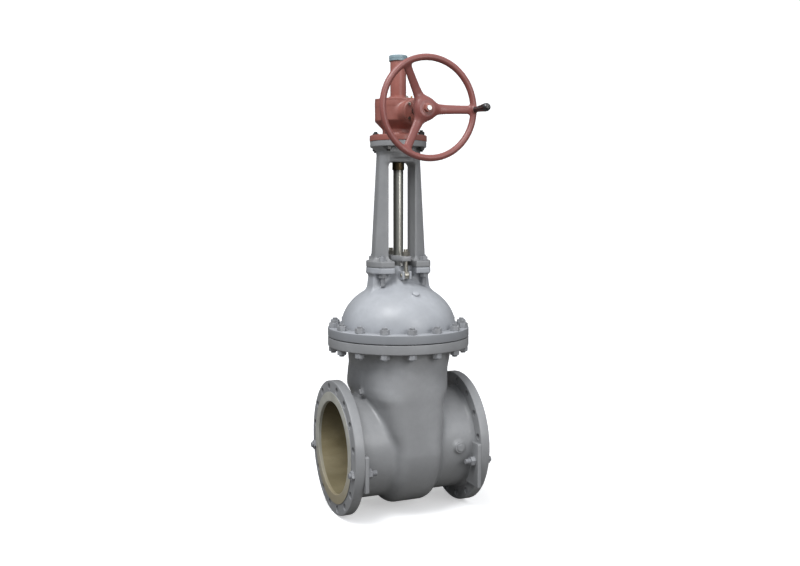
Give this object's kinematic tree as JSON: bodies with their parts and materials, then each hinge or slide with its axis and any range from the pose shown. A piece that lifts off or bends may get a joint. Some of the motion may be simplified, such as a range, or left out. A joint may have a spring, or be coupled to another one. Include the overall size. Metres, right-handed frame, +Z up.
{
  "type": "gate valve",
  "caption": "Flanged wedge gate valve with rising stem, outside yoke, bevel gear operator and spoked handwheel with a crank grip.",
  "frame": {"origin": "where the flow axis crosses the stem axis, midway between the two seats", "axes": "+X along the flow axis, +Z up the stem, the handwheel faces -Y"},
  "size_m": [0.652, 0.757, 1.976],
  "materials": {
    "grey_paint": "satin paint over a cast surface",
    "light_grey_paint": "satin paint over a cast surface",
    "red_paint": "satin paint over a cast surface",
    "teal_plastic": "moulded cap",
    "black_plastic": "turned and moulded grip",
    "bright_steel": "ground and greased",
    "machined_steel": "machined",
    "cast_steel": "as cast",
    "bronze": "machined bronze",
    "graphite": "graphite sheet and braid",
    "seal_rubber": "moulded lip seal",
    "painted_fasteners": "painted over hexagon steel",
    "dark_fasteners": "blackened steel",
    "plated_fasteners": "zinc plated"
  },
  "bodies": {
    "valve_frame": {"backseat_bush": "bronze", "bearing_cap": "red_paint", "bearing_cap_screws": "plated_fasteners", "bearing_spacer": "machined_steel", "bonnet": "light_grey_paint", "bonnet_gasket": "graphite", "bonnet_nuts_bottom": "painted_fasteners", "bonnet_nuts_top": "painted_fasteners", "bonnet_studs": "painted_fasteners", "bracket_nuts": "painted_fasteners", "bracket_studs": "painted_fasteners", "cover_bush": "bronze", "cover_screws": "plated_fasteners", "dome_plug": "light_grey_paint", "flange_brackets": "grey_paint", "front_input_bearing": "machined_steel", "gearbox_cover": "red_paint", "gearbox_housing": "red_paint", "gearbox_nuts_bottom": "dark_fasteners", "gearbox_nuts_top": "dark_fasteners", "gearbox_studs": "dark_fasteners", "gland_flange": "grey_paint", "gland_follower": "machined_steel", "gland_hinge_pins": "dark_fasteners", "gland_nuts": "dark_fasteners", "gland_swing_bolts": "dark_fasteners", "grease_nipple": "bronze", "inlet_seat_ring": "machined_steel", "input_seal": "seal_rubber", "lower_thrust_bearing": "machined_steel", "neck_plug": "grey_paint", "outlet_seat_ring": "machined_steel", "packing_rings": "graphite", "packing_washer": "machined_steel", "rear_input_bearing": "machined_steel", "stem_cover_tube": "red_paint", "stub_plugs": "grey_paint", "tube_cap": "teal_plastic", "upper_thrust_bearing": "machined_steel", "valve_body": "grey_paint", "yoke": "grey_paint", "yoke_nuts_bottom": "painted_fasteners", "yoke_nuts_top": "painted_fasteners", "yoke_studs": "painted_fasteners"},
    "input_shaft": {"pinion_shaft": "machined_steel", "handwheel": "red_paint", "handwheel_key": "machined_steel", "handwheel_washer": "plated_fasteners", "handwheel_nut": "plated_fasteners", "grip_bolt": "plated_fasteners", "grip_nut": "plated_fasteners"},
    "grip": {"crank_grip": "black_plastic"},
    "stem_drive": {"stem_nut": "bronze", "bevel_wheel": "machined_steel", "bevel_wheel_key": "machined_steel"},
    "stem_wedge": {"stem": "bright_steel", "wedge": "cast_steel", "inlet_wedge_ring": "machined_steel", "outlet_wedge_ring": "machined_steel"}
  },
  "joints": [
    {"name": "handwheel_turn", "type": "hinge", "parent": "valve_frame", "child": "input_shaft", "pos_m": [0, -0.3, 1.432], "axis": [0, 1, 0], "range_deg": [0, 54000]},
    {"name": "grip_spin", "type": "hinge", "parent": "input_shaft", "child": "grip", "pos_m": [0.2, -0.38, 1.432], "axis": [0, -1, 0], "continuous": true},
    {"name": "stem_nut_turn", "type": "hinge", "parent": "valve_frame", "child": "stem_drive", "pos_m": [0, 0, 1.4], "axis": [0, 0, 1], "range_deg": [0, 18000]},
    {"name": "stem_rise", "type": "slide", "parent": "valve_frame", "child": "stem_wedge", "axis": [0, 0, 1], "range_m": [-0.4, 0]}
  ],
  "couplings": [
    {"joint": "stem_nut_turn", "follows": "stem_rise", "rad_per_m": -785.4},
    {"joint": "handwheel_turn", "follows": "stem_rise", "rad_per_m": -2356.2}
  ]
}
